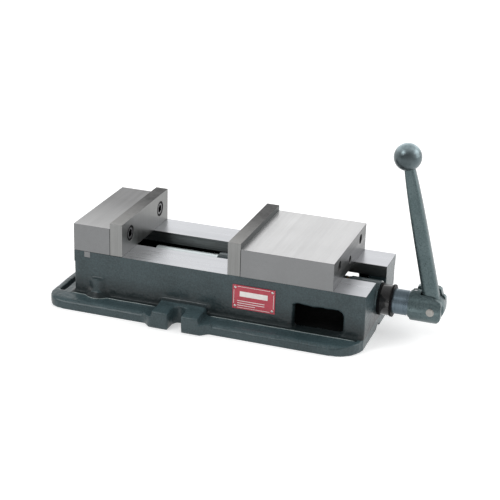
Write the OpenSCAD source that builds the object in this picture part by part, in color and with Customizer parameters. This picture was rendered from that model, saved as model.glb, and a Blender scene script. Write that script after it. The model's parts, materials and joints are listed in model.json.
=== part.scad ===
// Angle-lock machine vise, 6 inch jaws, opened about 143 mm.
// X runs from the fixed jaw (-X) to the handle (+X), Y across the jaws, Z up.
// The origin is on the base's bottom plane, midway between the two side lug slots.

/* [Jaws] */
// Width of the jaws and of the bed
jaw_w = 152.4; // [150:0.1:156]
// Opening between the two jaw plates
jaw_opening = 143; // [120:1:143]
// Thickness of a jaw plate
plate_t = 17; // [15:1:19]
// Height of a jaw plate above the bed
plate_h = 43.6; // [41:0.1:46]
// Length of the fixed jaw block
fixed_block_l = 50.5; // [48:0.5:54]
// Length of the movable jaw block
mov_block_l = 120; // [118:1:126]
// Height of the jaw blocks above the bed
block_h = 36.4; // [34:0.1:38]
// Distance of each plate screw from the middle of the jaw
plate_screw_y = 49.2; // [45:0.1:52]
// Height of the plate screws above the bed
plate_screw_z = 23.8; // [22:0.1:25]

/* [Base] */
// Height of the bed above the table
bed_z = 73; // [72:0.5:75]
// Distance from the lug slots to the working face of the fixed plate
face_x = 86.5; // [84:0.5:90]
// Bed left uncovered behind the movable jaw
bed_tail = 42; // [40:1:46]
// Thickness of the flange round the base
flange_h = 14.5; // [12:0.5:16]
// Distance the flange stands out from each side wall
flange_out = 27.8; // [24:0.1:30]
// Distance the flange stands out at the fixed end
flange_end = 29; // [24:1:34]
// Width of the channel between the ways
channel_w = 56; // [55:0.5:60]
// Thickness of the ways
way_t = 15; // [14:0.5:15]
// Width of the holding-down slots
lug_slot_w = 18; // [14:1:20]

/* [Screw and handle] */
// Height of the screw axis above the table
axis_z = 40.5; // [40:0.5:41]
// Major radius of the lead screw
screw_r = 16; // [14:0.5:16]
// Distance from the handle pivot to the middle of the ball
lever_l = 196; // [180:1:210]
// Radius of the ball on the handle
ball_r = 17.3; // [14:0.1:19]
// Angle at which the handle leans towards the jaws when folded
lever_lean = 13.7; // [12:0.1:15]

/* [Hidden] */
$fn = 64;
eps = 1;              // overrun of a cut past the face it opens
fit = 0.05;           // gap between pieces that are fastened together
running = 0.05;       // radial gap of a shaft in its bearing

// Stations along X
wall_y = jaw_w / 2;
fixed_plate_x = -face_x - plate_t;
body_x0 = fixed_plate_x - fixed_block_l;
mov_plate_x = -face_x + jaw_opening;
mov_block_x = mov_plate_x + plate_t;
mov_block_x1 = mov_block_x + mov_block_l;
full_opening = 143;
body_x1 = -face_x + full_opening + plate_t + mov_block_l + bed_tail;
flange_x0 = body_x0 - flange_end;
flange_y = wall_y + flange_out;

// Raised foot round the walls
foot_out = 6;
foot_up = 0.8;

// Inside of the base
way_z = bed_z - way_t;
floor_z = 15;
wall_t = 15;
chamber_y = wall_y - wall_t;
chamber_x0 = body_x0 + 27;
chamber_wide_x = chamber_x0 + 30;
chamber_narrow_y = 50;
chamber_x1 = body_x1 - 23.5;
tunnel_r = 25;
window_x0 = body_x1 - 92;
window_x1 = body_x1 - 27;
far_window_x1 = window_x1 - 18;
window_z1 = 48.5;
window_r = 8;
housing_x0 = body_x1 - 39.5;
housing_r = 23;

// Flange corners, its recess at the fixed end and the keyways underneath
corner_fixed_r = 22;
corner_handle_r = 35;
recess_x = flange_x0 + 8;
recess_w = 7;
recess_d = 7;
key_w = 16;
key_d = 4;

// Name plate on the near wall
name_x = window_x0 - 79;
name_l = 56;
name_z = 30;
name_h = 32;
name_t = 1;
rivet_inset = 3.5;

// Fixed jaw fastening
tongue_x = body_x0 + 14.3;
tongue_w = 8;
tongue_d = 7.8;
bolt_x = body_x0 + 33;
bolt_y = 62.5;
bolt_r = 6.3;
bolt_seat_z = 34.5;
bolt_tip_z = bed_z + 28;
bolt_washer_r = 10.3;
bolt_washer_t = 2.5;
bolt_clear_r = 6.75;
bolt_counterbore_r = 10.5;
boss_r = 12.5;
boss_foot_r = 19.5;
boss_foot_h = 9;
boss_y = wall_y - 6.5;
boss_z = 39;

// Lugs
lug_y = wall_y + 37.3;
lug_half_l = 31.5;
lug_z = 23;
lug_slot_end_y = 95.5;
lug_corner_r = 4;
lug_blend_l = 15;

// Jaw plate screws: half-inch socket head cap screws
screw_z = bed_z + plate_screw_z;
thread_r = 6.35;
head_r = 9.5;
head_l = 12.7;
counterbore_r = 10.3;
counterbore_d = 13.2;
hex_af = 9.5;
hex_d = 6.5;
plate_clear_r = 6.8;
plate_screw_grip = 28;
rear_hole_l = 30;

// Nut and locking segment, placed from the movable plate
nut_x0 = mov_plate_x - 38.5;
nut_r = 26.5;
nut_len = 42;
nut_z0 = 22;
nut_half_y = 26.5;
nut_top_z = 67;
nut_x1 = nut_x0 + nut_len + 69;
wing_y = 48;
wing_z0 = 36;
hook_z0 = 60;
post_x = mov_block_x + 50.5;
seg_r = 11;
seg_x = post_x - 8.5;
seg_z = bed_z + 15;
lean_sum = seg_x + seg_z;
set_screw_z = bed_z + 14;
set_screw_r = 5;
hook_y = 20;
hook_back = 16;
hook_front = 10;
pocket_y = 26;
pocket_top_z = bed_z + 26;
guard_r = 23;
guard_x0 = -70;
guard_wall = 2;
guard_skirt = 5;
guard_seat = 8;
guard_screw_r = 2;
guard_screw_tilts = [-35, 35];
guard_screw_x = nut_x0 + 4;

// Screw, bearing and handle
screw_x0 = chamber_x0 + 3;
bearing_x1 = housing_x0;
washer_t = 3;
cage_t = 3;
shoulder_l = 4;
cage_x = bearing_x1 - washer_t - cage_t;
shoulder_x = cage_x - washer_t - shoulder_l;
journal_r = 14;
bush_r = 17;
washer_r = 22;
shoulder_r = 20;
roller_r = 1.45;
roller_l = 5;
roller_in = 15.1;
roller_count = 12;
collar_x = body_x1 + 3;
collar_r = 19.8;
collar_l = 13;
collar_screw_r = 2.5;
ring_r = 20.7;
ring_t = 2.4;
sleeve_x = collar_x + collar_l + ring_t + 0.1;
sleeve_r = 16;
sleeve_l = 20.6;
hub_x = sleeve_x + sleeve_l;
hub_r = 20;
drive_r = 12;
drive_l = 13;
drive_pin_r = 3;
drive_pin_x = hub_x + 6;
pivot_x = hub_x + 29.4;
pivot_z = axis_z + 0.5;
pin_r = 5;
cheek_gap = 9.7;
cheek_r = 13;
eye_r = 15;
eye_y = 9.3;

// Cylinder along X
module xcyl(x, r, l, y = 0, z = axis_z, fn = 96)
    translate([x, y, z]) rotate([0, 90, 0]) cylinder(r = r, h = l, $fn = fn);

// Cylinder along Y, centred on y = 0
module ycyl(x, z, r, l, fn = 64)
    translate([x, 0, z]) rotate([90, 0, 0]) cylinder(r = r, h = l, center = true, $fn = fn);

// Outline in X and Z, extruded across Y
module across(points, y0, y1)
    translate([0, y1, 0]) rotate([90, 0, 0]) linear_extrude(y1 - y0) polygon(points);

// Flat plate whose four upright corners are rounded, left pair and right pair apart
module round_plate(x0, x1, half_y, h, r0, r1) {
    for (s = [-1, 1]) {
        translate([x0 + r0, s * (half_y - r0), 0]) cylinder(r = r0, h = h);
        translate([x1 - r1, s * (half_y - r1), 0]) cylinder(r = r1, h = h);
    }
    translate([x0 + r0, -half_y, 0]) cube([x1 - r1 - x0 - r0, 2 * half_y, h]);
    translate([x0, -half_y + r0, 0]) cube([r0, 2 * (half_y - r0), h]);
    translate([x1 - r1, -half_y + r1, 0]) cube([r1, 2 * (half_y - r1), h]);
}

// Hexagonal key socket along X
module hex_x(x, y, z, af, l)
    translate([x, y, z]) rotate([0, 90, 0]) cylinder(r = af / sqrt(3), h = l, $fn = 6);

// Side lug for a T-slot bolt, blended into the flange at its foot by an S-curve on each side
module lug(s) {
    steps = 8;
    rise = lug_y - flange_y;
    curve = [for (i = [0 : steps]) [lug_half_l + lug_blend_l * (1 - i / steps),
        flange_y + rise * (1 - cos(180 * i / steps)) / 2]];
    foot = concat([[lug_half_l + lug_blend_l, flange_y - 8]], curve,
        [for (i = [steps : -1 : 0]) [-curve[i][0], curve[i][1]]],
        [[-lug_half_l - lug_blend_l, flange_y - 8]]);
    linear_extrude(flange_h) polygon([for (p = foot) [p[0], s * p[1]]]);
    // The top slopes down a little away from the wall
    intersection() {
        translate([-lug_half_l, s > 0 ? wall_y - 1 : -lug_y, 0])
            cube([2 * lug_half_l, lug_y - wall_y + 1, lug_z + 5]);
        rotate([90, 0, 90]) translate([0, 0, -lug_half_l]) linear_extrude(2 * lug_half_l)
            polygon([[s * (wall_y - 1), 1], [s * lug_y, 1], [s * lug_y, lug_z - 0.5],
                [s * (wall_y + 9), lug_z + 1.2], [s * (wall_y - 1), lug_z + 4.5]]);
        union() {
            for (x = [-1, 1])
                translate([x * (lug_half_l - lug_corner_r), s * (lug_y - lug_corner_r), 0])
                    cylinder(r = lug_corner_r, h = lug_z + 5, $fn = 48);
            translate([-lug_half_l + lug_corner_r, s > 0 ? wall_y - 1 : -lug_y, 0])
                cube([2 * (lug_half_l - lug_corner_r), lug_y - wall_y + 1, lug_z + 5]);
            translate([-lug_half_l, s > 0 ? wall_y - 1 : -lug_y + lug_corner_r, 0])
                cube([2 * lug_half_l, lug_y - wall_y + 1 - lug_corner_r, lug_z + 5]);
        }
    }
}

module casting_outside() {
    round_plate(flange_x0, body_x1, flange_y, flange_h, corner_fixed_r, corner_handle_r);
    round_plate(body_x0 - 4, body_x1 - 7, wall_y + foot_out, flange_h + foot_up, 9, 9);
    translate([body_x0, -wall_y, 0]) cube([body_x1 - body_x0, jaw_w, bed_z]);
    for (s = [-1, 1]) {
        lug(s);
        translate([bolt_x, s * boss_y, 0]) cylinder(r = boss_r, h = boss_z);
        translate([bolt_x, s * boss_y, 0]) cylinder(r = boss_foot_r, h = flange_h);
        translate([bolt_x, s * boss_y, flange_h]) cylinder(r1 = boss_foot_r, r2 = boss_r, h = boss_foot_h);
    }
}

// Chamber under the ways, channel between them and the tunnel under the fixed jaw
module casting_inside() {
    translate([chamber_x0, -chamber_narrow_y, floor_z])
        cube([chamber_wide_x - chamber_x0 + 1, 2 * chamber_narrow_y, way_z - floor_z]);
    translate([chamber_wide_x, -chamber_y, floor_z])
        cube([chamber_x1 - chamber_wide_x, 2 * chamber_y, way_z - floor_z]);
    translate([chamber_x0, -channel_w / 2, floor_z])
        cube([body_x1 - chamber_x0 + eps, channel_w, bed_z]);
    xcyl(body_x0 - eps, tunnel_r, chamber_x0 - body_x0 + 2 * eps);
}

// Opening through one side wall, its corners rounded at the handle end; the far one is shorter
module casting_window(s, x1) {
    h = window_z1 - floor_z;
    y0 = s > 0 ? chamber_y - 1 : -wall_y - 10;
    span = wall_t + 11;
    for (z = [floor_z + window_r, window_z1 - window_r])
        translate([x1 - window_r, y0 + span, z]) rotate([90, 0, 0]) cylinder(r = window_r, h = span);
    translate([window_x0, y0, floor_z]) cube([x1 - window_x0 - window_r, span, h]);
    translate([window_x0, y0, floor_z + window_r]) cube([x1 - window_x0, span, h - 2 * window_r]);
}

module base_casting()
    color([0.36, 0.43, 0.43]) difference() {
        union() {
            difference() {
                casting_outside();
                casting_inside();
            }
            xcyl(housing_x0, housing_r, body_x1 - housing_x0);
            translate([chamber_x1, -channel_w / 2 - 1, floor_z - 1])
                cube([body_x1 - chamber_x1, channel_w + 2, axis_z - floor_z + 1]);
        }
        casting_window(-1, window_x1);
        casting_window(1, far_window_x1);
        xcyl(housing_x0 - eps, bush_r, body_x1 - housing_x0 + 2 * eps);
        // Cross slot for the tongue of the fixed jaw
        translate([tongue_x - fit, -wall_y - eps, bed_z - tongue_d - fit])
            cube([tongue_w + 2 * fit, jaw_w + 2 * eps, tongue_d + eps]);
        for (s = [-1, 1]) {
            translate([bolt_x, s * bolt_y, -eps]) cylinder(r = bolt_counterbore_r, h = bolt_seat_z + eps);
            translate([bolt_x, s * bolt_y, 0]) cylinder(r = bolt_clear_r, h = bed_z + eps);
            translate([0, s * lug_slot_end_y, -eps]) cylinder(r = lug_slot_w / 2, h = lug_z + 2 * eps);
            translate([-lug_slot_w / 2, s > 0 ? lug_slot_end_y : -lug_y - eps, -eps])
                cube([lug_slot_w, lug_y - lug_slot_end_y + eps, lug_z + 2 * eps]);
        }
        // Recess in the flange at the fixed end
        translate([recess_x, -wall_y - 1, flange_h - recess_d])
            cube([recess_w, 2 * (wall_y + 1), recess_d + eps]);
        // Keyways in the underside
        translate([flange_x0 - eps, -key_w / 2, -eps])
            cube([body_x1 - flange_x0 + 2 * eps, key_w, key_d + eps]);
        translate([-key_w / 2, -wall_y, -eps]) cube([key_w, jaw_w, key_d + eps]);
    }

module nameplate()
    color([0.72, 0.16, 0.24])
        translate([name_x, -wall_y - name_t, name_z]) cube([name_l, name_t, name_h]);

module nameplate_rivets()
    color([0.75, 0.75, 0.72])
        for (x = [name_x + rivet_inset, name_x + name_l - rivet_inset],
            z = [name_z + rivet_inset, name_z + name_h - rivet_inset])
            translate([x, -wall_y - name_t, z]) rotate([90, 0, 0])
                intersection() {
                    cylinder(r = 1.7, h = 0.9, $fn = 32);
                    translate([0, 0, -1.2]) sphere(r = 2.1, $fn = 32);
                }

module fixed_jaw_block()
    color([0.62, 0.62, 0.61]) difference() {
        union() {
            translate([body_x0, -wall_y, bed_z]) cube([fixed_block_l, jaw_w, block_h]);
            translate([tongue_x, -wall_y, bed_z - tongue_d]) cube([tongue_w, jaw_w, tongue_d + 1]);
        }
        for (s = [-1, 1]) {
            translate([bolt_x, s * bolt_y, bed_z - eps]) cylinder(r = thread_r, h = bolt_tip_z - bed_z + 2);
            xcyl(fixed_plate_x - plate_screw_grip - 2, thread_r, plate_screw_grip + 3,
                s * plate_screw_y, screw_z, 64);
        }
    }

module fixed_jaw_bolts()
    color([0.12, 0.12, 0.12]) for (s = [-1, 1]) translate([bolt_x, s * bolt_y, 0])
        difference() {
            union() {
                translate([0, 0, bolt_seat_z - bolt_washer_t - head_l]) cylinder(r = head_r, h = head_l);
                translate([0, 0, bolt_seat_z - 3]) cylinder(r = bolt_r, h = bolt_tip_z - bolt_seat_z + 3);
            }
            translate([0, 0, bolt_seat_z - bolt_washer_t - head_l - eps])
                cylinder(r = hex_af / sqrt(3), h = hex_d + eps, $fn = 6);
        }

module fixed_jaw_washers()
    color([0.5, 0.5, 0.5])
        for (s = [-1, 1]) translate([bolt_x, s * bolt_y, bolt_seat_z - bolt_washer_t]) difference() {
            cylinder(r = bolt_washer_r, h = bolt_washer_t);
            translate([0, 0, -eps]) cylinder(r = bolt_clear_r, h = bolt_washer_t + 2 * eps);
        }

// A jaw plate with its two counterbored screw holes; face is the working face, dir points out of it
module jaw_plate(face, dir) {
    x0 = dir > 0 ? face - plate_t : face;
    difference() {
        translate([x0, -wall_y, bed_z + fit]) cube([plate_t, jaw_w, plate_h - fit]);
        for (s = [-1, 1]) {
            xcyl(x0 - eps, plate_clear_r, plate_t + 2 * eps, s * plate_screw_y, screw_z, 64);
            xcyl(dir > 0 ? face - counterbore_d : face - eps, counterbore_r, counterbore_d + eps,
                s * plate_screw_y, screw_z, 64);
        }
    }
}

// The two socket head screws of a jaw plate
module plate_screws(face, dir) {
    seat = face - dir * counterbore_d;
    tip = face - dir * (plate_t + plate_screw_grip);
    for (s = [-1, 1]) difference() {
        union() {
            xcyl(dir > 0 ? seat : seat - head_l, head_r, head_l, s * plate_screw_y, screw_z, 64);
            xcyl(min(seat, tip), thread_r - fit, abs(seat - tip) + 0.01, s * plate_screw_y, screw_z, 64);
        }
        hex_x(dir > 0 ? seat + head_l - hex_d : seat - head_l - eps, s * plate_screw_y, screw_z,
            hex_af, hex_d + eps);
    }
}

module fixed_jaw_plate() color([0.66, 0.65, 0.62]) jaw_plate(-face_x, 1);
module movable_jaw_plate() color([0.66, 0.65, 0.62]) jaw_plate(mov_plate_x, -1);
module fixed_plate_screws() color([0.1, 0.1, 0.1]) plate_screws(-face_x, 1);
module movable_plate_screws() color([0.1, 0.1, 0.1]) plate_screws(mov_plate_x, -1);

module bearing_bush()
    color([0.72, 0.55, 0.28]) difference() {
        xcyl(housing_x0 + 2, bush_r - fit, body_x1 - housing_x0 - 2);
        xcyl(housing_x0, journal_r + running, body_x1 - housing_x0 + eps);
    }

module thrust_washer(x)
    difference() {
        xcyl(x, washer_r, washer_t - fit);
        xcyl(x - eps, journal_r + running, washer_t + 2 * eps);
    }
module thrust_washer_fixed() color([0.6, 0.6, 0.6]) thrust_washer(bearing_x1 - washer_t + fit);
module thrust_washer_turning() color([0.6, 0.6, 0.6]) thrust_washer(cage_x - washer_t);

module thrust_cage()
    color([0.72, 0.55, 0.28]) difference() {
        xcyl(cage_x + 0.6, washer_r - 0.5, cage_t - 1.2);
        xcyl(cage_x - eps, journal_r + running, cage_t + 2 * eps);
        for (i = [0 : roller_count - 1]) translate([cage_x - eps, 0, axis_z])
            rotate([i * 360 / roller_count, 0, 0]) translate([0, -roller_r - 0.15, roller_in - 0.1])
                cube([cage_t + 2 * eps, 2 * roller_r + 0.3, roller_l + 0.2]);
    }
module thrust_rollers()
    color([0.7, 0.7, 0.7]) for (i = [0 : roller_count - 1])
        translate([cage_x + cage_t / 2, 0, axis_z]) rotate([i * 360 / roller_count, 0, 0])
            translate([0, 0, roller_in]) cylinder(r = roller_r, h = roller_l, $fn = 24);

// The jaw block has a pocket underneath, where the nut's hook pulls it forward and down
module movable_jaw_block()
    color([0.7, 0.7, 0.69]) difference() {
        translate([mov_block_x, -wall_y, bed_z + fit]) cube([mov_block_l, jaw_w, block_h - fit]);
        across([[post_x - 1, bed_z - 2], [post_x - 1, lean_sum - 1 - post_x + 1],
            [post_x - 18, lean_sum - 1 - post_x + 18], [post_x - 18, pocket_top_z],
            [post_x + 25, pocket_top_z], [post_x + 25, bed_z - 2]], -pocket_y, pocket_y);
        translate([seg_x, 0, seg_z]) sphere(r = seg_r + fit, $fn = 64);
        xcyl(post_x + 20, set_screw_r + fit, mov_block_x1 - post_x - 20 + eps, 0, set_screw_z, 64);
        for (s = [-1, 1]) {
            xcyl(mov_block_x - eps, thread_r, plate_screw_grip + 3, s * plate_screw_y, screw_z, 64);
            xcyl(mov_block_x1 - rear_hole_l, thread_r, rear_hole_l + eps, s * plate_screw_y, screw_z, 64);
        }
    }

// Holes of the guard's two small screws, through the guard and into the nut
module guard_screw_holes()
    for (a = guard_screw_tilts) translate([guard_screw_x, 0, axis_z]) rotate([a, 0, 0])
        cylinder(r = guard_screw_r + 0.1, h = 30, $fn = 32);

module jaw_nut()
    color([0.42, 0.47, 0.46]) difference() {
        union() {
            xcyl(nut_x0, nut_r, nut_len);
            translate([nut_x0 + nut_len - 1, -nut_half_y, nut_z0])
                cube([nut_x1 - nut_x0 - nut_len + 1, 2 * nut_half_y, nut_top_z - nut_z0]);
            translate([nut_x0 + 12, -wing_y, wing_z0])
                cube([nut_x1 - nut_x0 - 12, 2 * wing_y, way_z - 0.2 - wing_z0]);
            across([[post_x, hook_z0], [post_x, lean_sum - post_x],
                [post_x - hook_back, lean_sum - post_x + hook_back],
                [post_x + hook_front, lean_sum - post_x + hook_back], [post_x + hook_front, hook_z0]],
                -hook_y, hook_y);
        }
        // Flat underside, clear of the chamber's floor
        translate([nut_x0 - eps, -wing_y, 0]) cube([nut_x1 - nut_x0 + 2 * eps, 2 * wing_y, nut_z0]);
        xcyl(nut_x0 - eps, screw_r + 0.08, nut_x1 - nut_x0 + 2 * eps);
        xcyl(nut_x0 - eps, guard_r + fit, guard_seat + eps);
        guard_screw_holes();
    }

// Half ball between the nut's sloping face and the socket in the jaw block
module lock_segment()
    color([0.6, 0.6, 0.6]) intersection() {
        translate([seg_x, 0, seg_z]) sphere(r = seg_r, $fn = 64);
        across([[seg_x - 20, seg_z + 20 - fit], [seg_x + 20, seg_z - 20 - fit],
            [seg_x + 20, seg_z - 40], [seg_x - 20, seg_z - 40]], -20, 20);
    }

module jaw_set_screw() {
    x0 = post_x + hook_front + fit;
    x1 = mov_block_x1 - 9;
    color([0.13, 0.13, 0.13]) difference() {
        xcyl(x0, set_screw_r, x1 - x0, 0, set_screw_z, 64);
        hex_x(x1 - 6, 0, set_screw_z, 5, 7);
    }
}

// Half-round cover that keeps chips off the screw and slides with the nut
module screw_guard() {
    end_x = nut_x0 + guard_seat - fit;
    color([0.72, 0.76, 0.76]) difference() {
        intersection() {
            xcyl(guard_x0, guard_r, end_x - guard_x0);
            union() {
                translate([guard_x0 + guard_r, 0, axis_z - guard_skirt]) cylinder(r = guard_r, h = 40);
                translate([guard_x0 + guard_r, -guard_r, axis_z - guard_skirt])
                    cube([end_x - guard_x0 - guard_r, 2 * guard_r, 40]);
            }
        }
        xcyl(guard_x0 - eps, guard_r - guard_wall, end_x - guard_x0 + 2 * eps);
        guard_screw_holes();
    }
}

module guard_screws()
    color([0.12, 0.12, 0.12])
        for (a = guard_screw_tilts) translate([guard_screw_x, 0, axis_z]) rotate([a, 0, 0])
            translate([0, 0, guard_r - guard_wall]) difference() {
                union() {
                    cylinder(r = guard_screw_r, h = 6.5, $fn = 32);
                    translate([0, 0, 5.6]) cylinder(r = 3.3, h = 1.6, $fn = 32);
                }
                translate([0, 0, 6]) cylinder(r = 1.2, h = 2, $fn = 6);
            }

module lead_screw()
    color([0.68, 0.69, 0.7]) difference() {
        union() {
            xcyl(screw_x0, screw_r - 2, 3);
            xcyl(screw_x0 + 3, screw_r, shoulder_x - screw_x0 - 3);
            xcyl(shoulder_x, shoulder_r, shoulder_l);
            xcyl(shoulder_x + shoulder_l, journal_r, hub_x - shoulder_x - shoulder_l);
            xcyl(hub_x - 1, drive_r, drive_l + 1);
        }
        translate([drive_pin_x, 0, 0]) cylinder(r = drive_pin_r + fit, h = 80, $fn = 32);
    }

module collar_ring(x) difference() {
    xcyl(x, ring_r, ring_t);
    xcyl(x - eps, journal_r + fit, ring_t + 2 * eps);
}
module collar_ring_inner() color([0.04, 0.04, 0.04]) collar_ring(body_x1 + 0.4);
module collar_ring_outer() color([0.04, 0.04, 0.04]) collar_ring(collar_x + collar_l);

module thrust_collar()
    color([0.07, 0.07, 0.08]) difference() {
        union() {
            xcyl(collar_x, collar_r - 1, collar_l - 0.05);
            xcyl(collar_x + 1, collar_r, collar_l - 2);
        }
        xcyl(collar_x - eps, journal_r + fit, collar_l + 2 * eps);
        translate([collar_x + collar_l / 2, 0, 0])
            cylinder(r = collar_screw_r + fit, h = axis_z, $fn = 32);
    }

module collar_set_screw()
    color([0.1, 0.1, 0.1]) difference() {
        translate([collar_x + collar_l / 2, 0, axis_z - collar_r + 0.5])
            cylinder(r = collar_screw_r, h = collar_r - journal_r - 0.6, $fn = 32);
        translate([collar_x + collar_l / 2, 0, axis_z - collar_r - 1]) cylinder(r = 1.45, h = 3.5, $fn = 6);
    }

module spacer_sleeve()
    color([0.66, 0.72, 0.76]) difference() {
        union() {
            xcyl(sleeve_x, sleeve_r, sleeve_l - 3);
            xcyl(sleeve_x, sleeve_r - 0.8, sleeve_l - fit);
        }
        xcyl(sleeve_x - eps, journal_r + fit, sleeve_l + 2 * eps);
    }

// Round hub, forked for the handle; the far fork stands higher than the near one
module handle_hub() {
    left = hub_x + 4;
    low = [[left, axis_z - hub_r - 2], [pivot_x + 2, axis_z - hub_r + 0.5],
        [pivot_x + 8, axis_z - hub_r + 4], [pivot_x + 12, axis_z - 10.5], [pivot_x + cheek_r, axis_z - 3.5]];
    near_top = [[pivot_x + 12.5, axis_z + 10.5], [pivot_x + 11, axis_z + 13], [pivot_x - 12, axis_z + 21.5],
        [left, axis_z + 21.5]];
    far_top = [[pivot_x + 6.5, axis_z + 20.5], [pivot_x + 3.5, axis_z + 22.5], [left + 6, axis_z + 22.5],
        [left + 2, axis_z + 20]];
    color([0.42, 0.48, 0.49]) difference() {
        union() {
            xcyl(hub_x, hub_r - 2.5, 3);
            xcyl(hub_x + 2.5, hub_r, 11);
            intersection() {
                xcyl(hub_x + 2.5, hub_r + 0.4, 50);
                union() {
                    across(concat(low, near_top), -hub_r - 1, -cheek_gap);
                    across(concat(low, near_top), cheek_gap, hub_r + 1);
                }
            }
            across(concat([[left + 2, axis_z], [pivot_x + cheek_r, axis_z - 3.5]], far_top),
                cheek_gap, hub_r - 2);
        }
        xcyl(hub_x - eps, drive_r + fit, drive_l + eps + fit);
        ycyl(pivot_x, pivot_z, pin_r + 0.02, 60);
        translate([drive_pin_x, 0, 0]) cylinder(r = drive_pin_r + fit, h = 80, $fn = 32);
    }
}

module hub_drive_pin()
    color([0.5, 0.5, 0.5]) translate([drive_pin_x, 0, axis_z - hub_r + 1])
        cylinder(r = drive_pin_r, h = 2 * hub_r - 2, $fn = 32);

module handle_pivot_pin()
    color([0.7, 0.72, 0.74]) {
        ycyl(pivot_x, pivot_z, pin_r, 2 * hub_r + 2);
        ycyl(pivot_x, pivot_z, pin_r - 1, 2 * hub_r + 3);
    }

// Flattened eight-sided section of the handle at height z, a wide and b thick
module lever_section(z, a, b) translate([0, 0, z]) linear_extrude(0.5)
    polygon([[a, -b / 2], [a, b / 2], [a * 0.55, b], [-a * 0.55, b], [-a, b / 2], [-a, -b / 2],
        [-a * 0.55, -b], [a * 0.55, -b]]);

module handle_lever()
    color([0.42, 0.48, 0.49]) translate([pivot_x, 0, pivot_z]) rotate([0, -lever_lean, 0]) difference() {
        union() {
            ycyl(0, 0, eye_r, 2 * eye_y);
            hull() {
                lever_section(6, 10.4, eye_y);
                lever_section(40, 10, 9);
            }
            hull() {
                lever_section(40, 10, 9);
                lever_section(150, 8.5, 7.6);
            }
            hull() {
                lever_section(150, 8.5, 7.6);
                lever_section(lever_l - ball_r + 4, 6.6, 6.6);
            }
            translate([0, 0, lever_l]) sphere(r = ball_r, $fn = 96);
        }
        ycyl(0, 0, pin_r + running, 40);
    }

base_casting();
nameplate();
nameplate_rivets();
fixed_jaw_block();
fixed_jaw_bolts();
fixed_jaw_washers();
fixed_jaw_plate();
fixed_plate_screws();
bearing_bush();
thrust_washer_fixed();
movable_jaw_block();
movable_jaw_plate();
movable_plate_screws();
jaw_nut();
lock_segment();
jaw_set_screw();
screw_guard();
guard_screws();
lead_screw();
thrust_cage();
thrust_rollers();
thrust_washer_turning();
collar_ring_inner();
thrust_collar();
collar_set_screw();
collar_ring_outer();
spacer_sleeve();
handle_hub();
hub_drive_pin();
handle_pivot_pin();
handle_lever();
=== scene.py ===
"""Looks of the machine vise: materials, rounded castings, screw thread, name plate, lights and camera."""
import json
import math
import bmesh
import bpy
from mathutils import Matrix, Vector, noise


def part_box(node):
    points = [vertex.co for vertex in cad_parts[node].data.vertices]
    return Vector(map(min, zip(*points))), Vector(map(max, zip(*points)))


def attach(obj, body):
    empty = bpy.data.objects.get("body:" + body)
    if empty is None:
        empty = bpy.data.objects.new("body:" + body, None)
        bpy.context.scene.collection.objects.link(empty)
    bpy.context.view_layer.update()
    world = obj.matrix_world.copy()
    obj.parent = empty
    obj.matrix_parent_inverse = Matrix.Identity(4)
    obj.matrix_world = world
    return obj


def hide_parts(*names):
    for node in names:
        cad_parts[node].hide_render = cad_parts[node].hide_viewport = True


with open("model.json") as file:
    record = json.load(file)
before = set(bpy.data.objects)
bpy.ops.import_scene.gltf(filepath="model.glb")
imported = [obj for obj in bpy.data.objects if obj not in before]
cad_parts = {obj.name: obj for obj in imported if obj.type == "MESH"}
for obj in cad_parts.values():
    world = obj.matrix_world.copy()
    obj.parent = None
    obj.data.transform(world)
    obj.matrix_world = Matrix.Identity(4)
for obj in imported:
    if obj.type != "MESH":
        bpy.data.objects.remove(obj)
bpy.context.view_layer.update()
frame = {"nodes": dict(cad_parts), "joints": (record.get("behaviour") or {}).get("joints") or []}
NODES = frame["nodes"]
MM = 0.001
WALL_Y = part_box("movable_jaw_block")[1][1]


# ---------------------------------------------------------------- materials

RANGE = ("From Min", "From Max", "To Min", "To Max")


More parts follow.
